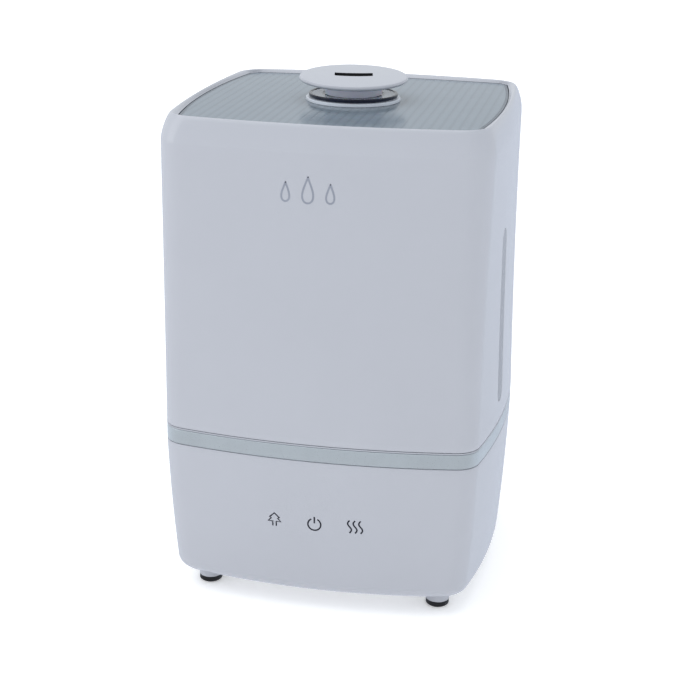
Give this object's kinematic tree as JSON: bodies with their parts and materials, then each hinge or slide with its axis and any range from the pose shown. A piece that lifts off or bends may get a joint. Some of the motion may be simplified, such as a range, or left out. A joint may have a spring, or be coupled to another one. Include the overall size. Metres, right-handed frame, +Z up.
{
  "type": "cool mist humidifier",
  "caption": "Table-top ultrasonic cool mist humidifier: square water tank that lifts off a base with basin, fan and touch controls, and a turning mist nozzle.",
  "frame": {"origin": "on the surface it stands on, under the middle of the body", "axes": "+X to the object's right side seen from the front, front towards -Y, +Z up"},
  "size_m": [0.212, 0.2166, 0.3187],
  "materials": {
    "shell_white": "gloss, faint blue tint",
    "band_silver": "silver paint, satin",
    "panel_grey": "gloss with fine ribs",
    "smoked_clear": "smoked clear plastic",
    "window_clear": "clear plastic",
    "collar_frost": "frosted",
    "inner_white": "moulded, satin",
    "rubber_black": "matt",
    "silicone": "satin",
    "steel": "bright",
    "aluminium": "satin",
    "board_green": "solder mask",
    "plastic_black": "satin",
    "ceramic": "fired, smooth",
    "copper": "bare copper",
    "foam_dark": "open foam"
  },
  "bodies": {
    "base": {"base_housing": "shell_white", "bottom_cover": "inner_white", "cord_gland": "rubber_black", "band_ring": "band_silver", "basin": "shell_white", "transducer_disc": "ceramic", "transducer_seal": "silicone", "transducer_clamp": "aluminium", "driver_board": "board_green", "driver_heat_sink": "aluminium", "fan_frame": "plastic_black", "air_duct": "inner_white", "intake_filter": "foam_dark", "ioniser_module": "plastic_black", "power_board": "board_green", "transformer_core": "steel", "transformer_winding": "copper", "smoothing_capacitor": "plastic_black", "touch_board": "board_green", "touch_pad_ioniser": "copper", "touch_pad_power": "copper", "touch_pad_mist": "copper", "float_stop": "inner_white", "level_switch": "plastic_black", "foot_pad_front_left": "rubber_black", "cover_screw_front_left": "steel", "foot_pad_front_right": "rubber_black", "cover_screw_front_right": "steel", "foot_pad_rear_left": "rubber_black", "cover_screw_rear_left": "steel", "foot_pad_rear_right": "rubber_black", "cover_screw_rear_right": "steel"},
    "tank": {"tank_shell": "shell_white", "water_window": "window_clear", "top_panel": "panel_grey", "tank_floor": "inner_white", "mist_chimney": "window_clear", "chimney_gasket": "silicone", "nozzle_collar": "collar_frost"},
    "cap": {"filler_cap": "inner_white", "cap_seal": "silicone", "valve_spring": "steel"},
    "valve": {"valve_plunger": "inner_white", "valve_seal": "silicone"},
    "dish": {"nozzle_dish": "smoked_clear"},
    "head": {"nozzle_head": "shell_white"},
    "float": {"float_ring": "foam_dark"},
    "rotor": {"fan_rotor": "plastic_black", "fan_shaft": "steel"}
  },
  "joints": [
    {"name": "tank_lift", "type": "slide", "parent": "base", "child": "tank", "axis": [0, 0, 1], "range_m": [0, 0.12]},
    {"name": "cap_turn", "type": "hinge", "parent": "tank", "child": "cap", "pos_m": [0.05, 0.042, 0.104], "axis": [0, 0, 1], "range_deg": [0, 90]},
    {"name": "valve_slide", "type": "slide", "parent": "cap", "child": "valve", "axis": [0, 0, 1], "range_m": [-0.003, 0], "deforming": ["valve_spring"]},
    {"name": "nozzle_lift", "type": "slide", "parent": "tank", "child": "dish", "axis": [0, 0, 1], "range_m": [0, 0.03]},
    {"name": "nozzle_turn", "type": "hinge", "parent": "dish", "child": "head", "pos_m": [0, 0, 0.306], "axis": [0, 0, 1], "continuous": true},
    {"name": "float_slide", "type": "slide", "parent": "base", "child": "float", "axis": [0, 0, 1], "range_m": [0, 0.012]},
    {"name": "fan_spin", "type": "hinge", "parent": "base", "child": "rotor", "pos_m": [-0.042, 0.03, 0.05], "axis": [0, 0, 1], "continuous": true}
  ],
  "couplings": [
    {"joint": "valve_slide", "follows": "tank_lift", "ratio": -0.025}
  ]
}
